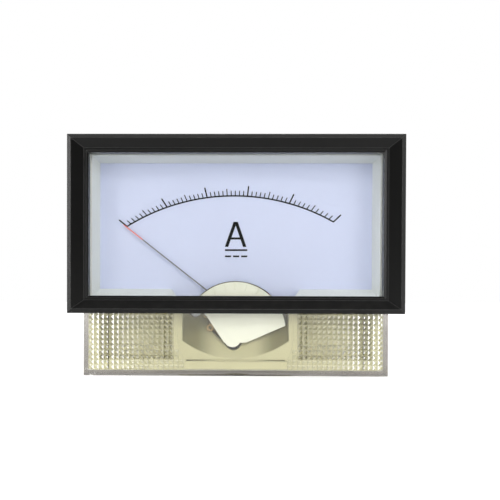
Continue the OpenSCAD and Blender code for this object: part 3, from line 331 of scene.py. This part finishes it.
def makeClearCover(values):
    material, tree, shader, out = startMaterial("clearCover")
    shader.inputs["Base Color"].default_value = rgba(values["tint"])
    shader.inputs["Roughness"].default_value = values["rough"]
    shader.inputs["IOR"].default_value = values["index"]
    shader.inputs["Transmission Weight"].default_value = 1.0
    place = objectPlace(tree)
    ripple = addNoise(tree, place, values["rippleScale"], values["rippleDetail"])
    bump = addNode(tree, "ShaderNodeBump", {"Distance": values["ripple"], "Height": ripple})
    tree.links.new(bump.outputs[0], shader.inputs["Normal"])
    # The rear rims of the walls are tinted dark so that less light comes through them: painted shade for the
    # dim case behind the walls
    depth = addNode(tree, "ShaderNodeSeparateXYZ", {0: place}).outputs["Y"]
    rear = ramp(tree, depth, values["rimFrom"] * mm, values["rimTo"] * mm)
    cloud = addNoise(tree, place, values["cloudScale"], values["cloudDetail"])
    paintedRimShade = mixColour(tree, cloud, rgba(values["rimShade"]), rgba(values["rimShadeSecond"]))
    tree.links.new(mixColour(tree, rear, rgba(values["tint"]), paintedRimShade), shader.inputs["Base Color"])
    clear = addNode(tree, "ShaderNodeBsdfTransparent", {"Color": rgba(values["shadowTint"])})
    shadow = addNode(tree, "ShaderNodeLightPath").outputs["Is Shadow Ray"]
    mixed = addNode(tree, "ShaderNodeMixShader", {0: shadow, 1: shader.outputs[0], 2: clear.outputs[0]})
    tree.links.new(mixed.outputs[0], out.inputs["Surface"])
    return material


finish["clearCover"] = makeClearCover(coverValues)


# The pointer is dark with a red end, told apart by the distance from its axis
pointerValues = {"axis": (0, 0, -13.6), "redFrom": 36.8, "fade": 0.15, "dark": (0.15, 0.15, 0.17),
                 "darkSecond": (0.20, 0.20, 0.22), "red": (0.80, 0.20, 0.18), "rough": (0.4, 0.55),
                 "edgeRadius": 0.00004}


def makePointerPaint(values):
    material, tree, shader, out = startMaterial("pointerPaint")
    surface = addNode(tree, "ShaderNodeGroup", node_tree=surfaceGroup)
    surface.inputs["Edge Radius"].default_value = values["edgeRadius"]
    flat = addNode(tree, "ShaderNodeVectorMath", {0: objectPlace(tree), 1: (1, 0, 1)},
                   operation="MULTIPLY").outputs[0]
    reach = addNode(tree, "ShaderNodeVectorMath", {0: flat, 1: Vector(values["axis"]) * mm},
                    operation="DISTANCE").outputs["Value"]
    fadeFrom, fadeTo = values["redFrom"] - values["fade"], values["redFrom"] + values["fade"]
    mask = ramp(tree, reach, fadeFrom * mm, fadeTo * mm)
    dark = mixColour(tree, surface.outputs["Shade"], rgba(values["dark"]), rgba(values["darkSecond"]))
    tree.links.new(mixColour(tree, mask, dark, rgba(values["red"])), shader.inputs["Base Color"])
    tree.links.new(spread(tree, surface.outputs["Grain"], *values["rough"]), shader.inputs["Roughness"])
    tree.links.new(surface.outputs["Normal"], shader.inputs["Normal"])
    return material


finish["pointerPaint"] = makePointerPaint(pointerValues)

nodeFinish = {
    "bezel_frame": "bezelBlack", "front_cover": "clearCover", "housing": "housingCream",
    "dial_surround": "surroundWhite", "dial_plate": "dialWhite", "scale_marks": "inkBlack",
    "movement_cover": "shieldCream", "movement_frame": "bronzeDark", "frame_screws": "steelZinc",
    "pole_left": "steelZinc", "pole_right": "steelZinc", "magnet": "magnetGrey", "core": "steelZinc",
    "core_bracket": "brassTurned", "clamp_plate": "brassTurned", "clamp_screws": "steelZinc",
    "front_bridge": "bronzeDark", "rear_bridge": "bronzeDark", "bridge_screws": "steelZinc",
    "front_jewel_screw": "brassTurned", "rear_jewel_screw": "brassTurned", "jewel_nuts": "brassTurned",
    "coil_former": "aluminiumPressed", "coil_winding": "copperWire", "front_staff": "steelZinc",
    "rear_staff": "steelZinc", "pointer": "pointerPaint", "balance_weight": "tinnedBrass",
    "front_hairspring": "bronzeStrip", "rear_hairspring": "bronzeStrip", "zero_lever": "bronzeStrip",
    "zero_adjuster": "adjusterBlack", "shunt": "manganinSheet", "coil_leads": "leadRed",
    "terminal_studs": "brassTurned", "clamp_washers": "tinnedBrass", "clamp_nuts": "brassTurned",
    "terminal_washers": "tinnedBrass", "spring_washers": "steelZinc", "terminal_nuts": "brassTurned",
    "mounting_studs": "steelZinc",
}
for name, thing in nodes.items():
    for place in range(len(thing.material_slots)):
        thing.material_slots[place].material = finish[nodeFinish[name]]
    if not thing.material_slots:
        thing.data.materials.append(finish[nodeFinish[name]])
print("nodes dressed:", len(nodes))


def keepMesh(name, mesh, material, body):
    thing = bpy.data.objects.new(name, mesh)
    bpy.context.scene.collection.objects.link(thing)
    if not mesh.materials:
        mesh.materials.append(material)
    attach(thing, body)
    return thing


# A flat outline in x and z, given a body from low to high along y
def addPrism(shape, outline, low, high):
    face = shape.faces.new([shape.verts.new((x * mm, low * mm, z * mm)) for x, z in outline])
    grown = bmesh.ops.extrude_face_region(shape, geom=[face])
    moved = [part for part in grown["geom"] if isinstance(part, bmesh.types.BMVert)]
    bmesh.ops.translate(shape, verts=moved, vec=(0, (high - low) * mm, 0))


def finishedMesh(name, shape):
    mesh = bpy.data.meshes.new(name)
    shape.to_mesh(mesh)
    shape.free()
    return mesh


# Flat printed shapes on the dial
def printShape(name, outlines, front, back, material):
    shape = bmesh.new()
    for outline in outlines:
        addPrism(shape, outline, front, back)
    bmesh.ops.recalc_face_normals(shape, faces=shape.faces)
    return keepMesh(name, finishedMesh(name, shape), material, "case")


letterValues = {"left": -3.4, "right": 3.35, "foot": 7.0, "head": 14.8, "stroke": 1.0, "bar": 0.65,
                "barLow": 9.3, "crown": 1.3}


# The unit's letter, a plain capital A
def makeUnitLetter(values):
    middle = (values["left"] + values["right"]) / 2
    tall = values["head"] - values["foot"]
    half = (values["right"] - values["left"]) / 2
    crown = values["crown"] / 2
    lean = (half - crown) / tall
    wide = values["stroke"] * math.hypot(1, lean)

    def at(side, height, inside):
        reach = half - lean * (height - values["foot"]) - (wide if inside else 0)
        return (middle + side * reach, height)

    inner = values["foot"] + (half - wide) / lean
    leftLeg = [at(-1, values["foot"], False), at(-1, values["foot"], True), (middle, inner),
               (middle, values["head"]), (middle - crown, values["head"])]
    rightLeg = [at(1, values["foot"], True), at(1, values["foot"], False), (middle + crown, values["head"]),
                (middle, values["head"]), (middle, inner)]
    low, high = values["barLow"], values["barLow"] + values["bar"]
    bar = [at(-1, low, True), at(1, low, True), at(1, high, True), at(-1, high, True)]
    return [leftLeg, rightLeg, bar]


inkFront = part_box("scale_marks")[0][1] / mm
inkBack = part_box("dial_plate")[0][1] / mm
printShape("unitLetter", makeUnitLetter(letterValues), inkFront, inkBack, finish["inkBlack"])

signValues = {"left": -3.35, "right": 3.62, "line": 6.0, "dashes": 4.05, "dashCount": 3, "thick": 0.52,
              "gap": 0.6}


# The sign for direct current: a line over three dashes
def makeCurrentSign(values):
    half = values["thick"] / 2
    count, gap = values["dashCount"], values["gap"]
    wide = (values["right"] - values["left"] - (count - 1) * gap) / count
    runs = [(values["left"], values["right"], values["line"])]
    for place in range(count):
        start = values["left"] + place * (wide + gap)
        runs.append((start, start + wide, values["dashes"]))
    return [[(a, z - half), (b, z - half), (b, z + half), (a, z + half)] for a, b, z in runs]


printShape("currentSign", makeCurrentSign(signValues), inkFront, inkBack, finish["inkBlack"])
print("dial signs made")


# A threaded rod along y from a plain tube of points, pushed inward along a screw line
def makeThreadTree():
    lengths = ("Radius", "Depth", "Pitch", "Start", "Length", "Bevel")
    group, given, out = newGroup(
        "screwThread",
        [(label, "NodeSocketFloat", None) for label in lengths]
        + [("Rings", "NodeSocketInt", None), ("Sides", "NodeSocketInt", None),
           ("Finish", "NodeSocketMaterial", None)],
        [("Geometry", "NodeSocketGeometry")], kind="GeometryNodeTree")
    tube = addNode(group, "GeometryNodeMeshCylinder",
                   {"Vertices": given.outputs["Sides"], "Side Segments": given.outputs["Rings"],
                    "Radius": given.outputs["Radius"], "Depth": given.outputs["Length"]}, fill_type="NGON")
    position = addNode(group, "GeometryNodeInputPosition").outputs[0]
    x, y, z = addNode(group, "ShaderNodeSeparateXYZ", {0: position}).outputs
    half = doMath(group, "MULTIPLY", given.outputs["Length"], 0.5)
    along = doMath(group, "ADD", z, half)
    angle = doMath(group, "DIVIDE", doMath(group, "ARCTAN2", y, x), 2 * math.pi)
    turns = doMath(group, "SUBTRACT", doMath(group, "DIVIDE", along, given.outputs["Pitch"]), angle)
    wave = doMath(group, "PINGPONG", turns, 0.5)
    cut = doMath(group, "MULTIPLY", doMath(group, "MULTIPLY", wave, 2.0), given.outputs["Depth"])
    fromEnd = doMath(group, "SUBTRACT", given.outputs["Length"], along)
    slope = doMath(group, "MAXIMUM", doMath(group, "SUBTRACT", given.outputs["Bevel"], fromEnd), 0.0)
    inward = doMath(group, "MAXIMUM", cut, slope)
    share = doMath(group, "SUBTRACT", 1.0, doMath(group, "DIVIDE", inward, given.outputs["Radius"]))
    spot = addNode(group, "ShaderNodeCombineXYZ",
                   {"X": doMath(group, "MULTIPLY", x, share),
                    "Y": doMath(group, "ADD", along, given.outputs["Start"]),
                    "Z": doMath(group, "MULTIPLY", doMath(group, "MULTIPLY", y, share), -1.0)})
    moved = addNode(group, "GeometryNodeSetPosition",
                    {"Geometry": tube.outputs["Mesh"], "Position": spot.outputs[0]})
    real = addNode(group, "GeometryNodeRealizeInstances", {0: moved.outputs[0]})
    painted = addNode(group, "GeometryNodeSetMaterial",
                      {"Geometry": real.outputs[0], "Material": given.outputs["Finish"]})
    group.links.new(painted.outputs[0], out.inputs[0])
    return group


threadTree = makeThreadTree()


def threadMesh(name, values, material):
    carrier = bpy.data.objects.new(name + "Carrier", bpy.data.meshes.new(name + "Carrier"))
    bpy.context.scene.collection.objects.link(carrier)
    modifier = carrier.modifiers.new("thread", "NODES")
    modifier.node_group = threadTree
    sockets = {item.name: item.identifier for item in threadTree.interface.items_tree
               if item.in_out == "INPUT"}
    for label, value in values.items():
        modifier[sockets[label]] = value
    modifier[sockets["Finish"]] = material
    ready = carrier.evaluated_get(bpy.context.evaluated_depsgraph_get())
    mesh = bpy.data.meshes.new_from_object(ready)
    bpy.data.objects.remove(carrier)
    return mesh


# Joins threads and plain prisms into one mesh, each copy moved to its place
def joinedMesh(name, parts):
    whole = bmesh.new()
    for mesh, spot in parts:
        piece = bmesh.new()
        piece.from_mesh(mesh)
        bmesh.ops.transform(piece, matrix=Matrix.Translation(Vector(spot) * mm), verts=piece.verts)
        bmesh.ops.recalc_face_normals(piece, faces=piece.faces)
        whole.from_mesh(finishedMesh(name + "Part", piece))
    joined = finishedMesh(name, whole)
    # Clearing the slots also puts every face back on the first one
    joined.materials.clear()
    return joined


def prismMesh(sides, radius, low, high):
    shape = bmesh.new()
    angles = [2 * math.pi * k / sides for k in range(sides)]
    addPrism(shape, [(radius * math.cos(angle), radius * math.sin(angle)) for angle in angles], low, high)
    return finishedMesh("prism", shape)


terminalValues = {"radius": 2.5, "depth": 0.36, "pitch": 0.8, "start": 23.0, "end": 40.0, "bevel": 0.5,
                  "ringsPerTurn": 8, "sides": 32, "headSides": 6, "headFlats": 8.0, "headLow": 20.6,
                  "places": (-14, 14)}


def makeTerminalStuds(values):
    long = values["end"] - values["start"]
    thread = threadMesh("terminalThread", {
        "Radius": values["radius"] * mm, "Depth": values["depth"] * mm, "Pitch": values["pitch"] * mm,
        "Start": values["start"] * mm, "Length": long * mm, "Bevel": values["bevel"] * mm,
        "Rings": int(long / values["pitch"] * values["ringsPerTurn"]), "Sides": values["sides"]},
        finish["brassTurned"])
    corner = values["headFlats"] / 2 / math.cos(math.pi / values["headSides"])
    head = prismMesh(values["headSides"], corner, values["headLow"], values["start"])
    parts = []
    for x in values["places"]:
        parts += [(thread, (x, 0, 0)), (head, (x, 0, 0))]
    mesh = joinedMesh("threadedTerminals", parts)
    thing = keepMesh("threadedTerminals", mesh, finish["brassTurned"], "case")
    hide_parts("terminal_studs")


makeTerminalStuds(terminalValues)

studValues = {"radius": 1.5, "depth": 0.22, "pitch": 0.5, "length": 13.0, "bevel": 0.4, "ringsPerTurn": 6,
              "sides": 24, "footSides": 40, "footRadius": 2.4, "footLow": -2.98,
              "places": ((-36, -26), (36, -26), (-36, 26), (36, 26))}


def makeMountingStuds(values):
    thread = threadMesh("studThread", {
        "Radius": values["radius"] * mm, "Depth": values["depth"] * mm, "Pitch": values["pitch"] * mm,
        "Start": 0.0, "Length": values["length"] * mm, "Bevel": values["bevel"] * mm,
        "Rings": int(values["length"] / values["pitch"] * values["ringsPerTurn"]), "Sides": values["sides"]},
        finish["steelZinc"])
    foot = prismMesh(values["footSides"], values["footRadius"], values["footLow"], 0.0)
    parts = []
    for x, z in values["places"]:
        parts += [(thread, (x, 0, z)), (foot, (x, 0, z))]
    mesh = joinedMesh("threadedStuds", parts)
    thing = keepMesh("threadedStuds", mesh, finish["steelZinc"], "case")
    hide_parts("mounting_studs")


makeMountingStuds(studValues)
print("threads made")


floorValues = {"height": -32.52, "size": 4.0, "colour": (0.93, 0.93, 0.93), "rough": 0.9, "specular": 0.1,
               "glowNear": 0.60, "glowFar": 0.9, "near": 0.2, "far": 0.9}


# The floor glows where the viewer sees it, more with distance, and so runs into the white background
def makeFloor(values):
    shape = bmesh.new()
    half = values["size"] / 2
    shape.faces.new([shape.verts.new((x * half, y * half, values["height"] * mm))
                     for x, y in ((-1, -1), (1, -1), (1, 1), (-1, 1))])
    mesh = finishedMesh("studioFloor", shape)
    floor = bpy.data.objects.new("studioFloor", mesh)
    bpy.context.scene.collection.objects.link(floor)
    material, tree, shader, out = startMaterial("paleFloor")
    shader.inputs["Base Color"].default_value = rgba(values["colour"])
    shader.inputs["Roughness"].default_value = values["rough"]
    shader.inputs["Specular IOR Level"].default_value = values["specular"]
    path = addNode(tree, "ShaderNodeLightPath")
    seen = doMath(tree, "ADD", path.outputs["Is Camera Ray"], path.outputs["Is Glossy Ray"], clamp=True)
    seen = doMath(tree, "ADD", seen, path.outputs["Is Transmission Ray"], clamp=True)
    reach = addNode(tree, "ShaderNodeVectorMath", {0: objectPlace(tree)}, operation="LENGTH").outputs["Value"]
    level = addNode(tree, "ShaderNodeMapRange",
                    {"Value": reach, "From Min": values["near"], "From Max": values["far"],
                     "To Min": values["glowNear"], "To Max": values["glowFar"]}).outputs[0]
    strength = doMath(tree, "MULTIPLY", seen, level)
    glow = addNode(tree, "ShaderNodeEmission", {"Color": (1, 1, 1, 1), "Strength": strength})
    both = addNode(tree, "ShaderNodeAddShader", {0: shader.outputs[0], 1: glow.outputs[0]})
    tree.links.new(both.outputs[0], out.inputs["Surface"])
    mesh.materials.append(material)


makeFloor(floorValues)

worldValues = {"ambient": 0.20, "room": 0.08, "background": 1.0, "roomEnd": -0.35, "backgroundFrom": 0.05}


# White behind the part; what faces the viewer mirrors a darker room
def makeWorld(values):
    world = bpy.data.worlds.new("studioWorld")
    bpy.context.scene.world = world
    world.use_nodes = True
    tree = world.node_tree
    tree.nodes.clear()
    path = addNode(tree, "ShaderNodeLightPath")
    way = addNode(tree, "ShaderNodeTexCoord").outputs["Generated"]
    deep = addNode(tree, "ShaderNodeSeparateXYZ", {0: way}).outputs["Y"]
    behind = addNode(tree, "ShaderNodeMapRange",
                     {"Value": deep, "From Min": values["roomEnd"], "From Max": values["backgroundFrom"],
                      "To Min": values["room"], "To Max": values["background"]}).outputs[0]
    mirrored = doMath(tree, "ADD", path.outputs["Is Glossy Ray"], path.outputs["Is Transmission Ray"],
                      clamp=True)
    level = mixValue(tree, mirrored, values["ambient"], behind)
    level = mixValue(tree, path.outputs["Is Camera Ray"], level, values["background"])
    sky = addNode(tree, "ShaderNodeBackground", {"Color": (1, 1, 1, 1), "Strength": level})
    out = tree.nodes.new("ShaderNodeOutputWorld")
    tree.links.new(sky.outputs[0], out.inputs["Surface"])


makeWorld(worldValues)

lampValues = {
    "frontLamp": {"place": (0.08, -0.98, 0.46), "aim": (0, 0, 0), "size": 0.24, "watts": 1.9},
    "skyLamp": {"place": (0.10, -0.50, 0.70), "aim": (0, 0, 0), "size": 0.40, "watts": 0.6},
    "rightLamp": {"place": (0.52, -0.95, 0.10), "aim": (0, 0, 0), "size": 0.36, "watts": 2.3},
    "leftLamp": {"place": (-0.52, -0.95, 0.10), "aim": (0, 0, 0), "size": 0.30, "watts": 1.5},
    "edgeLamp": {"place": (-0.90, -0.06, 0.18), "aim": (0, 0, 0), "size": 0.34, "watts": 3.2},
    "rearLamp": {"place": (0.1, 0.60, 0.45), "aim": (0, 0, 0), "size": 0.4, "watts": 2.8},
}


def makeLamp(name, values):
    data = bpy.data.lights.new(name, "AREA")
    data.shape = "SQUARE"
    data.size = values["size"]
    data.energy = values["watts"]
    lamp = bpy.data.objects.new(name, data)
    lamp.location = values["place"]
    lamp.rotation_mode = "QUATERNION"
    lamp.rotation_quaternion = (Vector(values["aim"]) - Vector(values["place"])).to_track_quat("-Z", "Y")
    bpy.context.scene.collection.objects.link(lamp)


for name, values in lampValues.items():
    makeLamp(name, values)
bpy.context.scene.view_settings.view_transform = "Standard"
print("studio made")
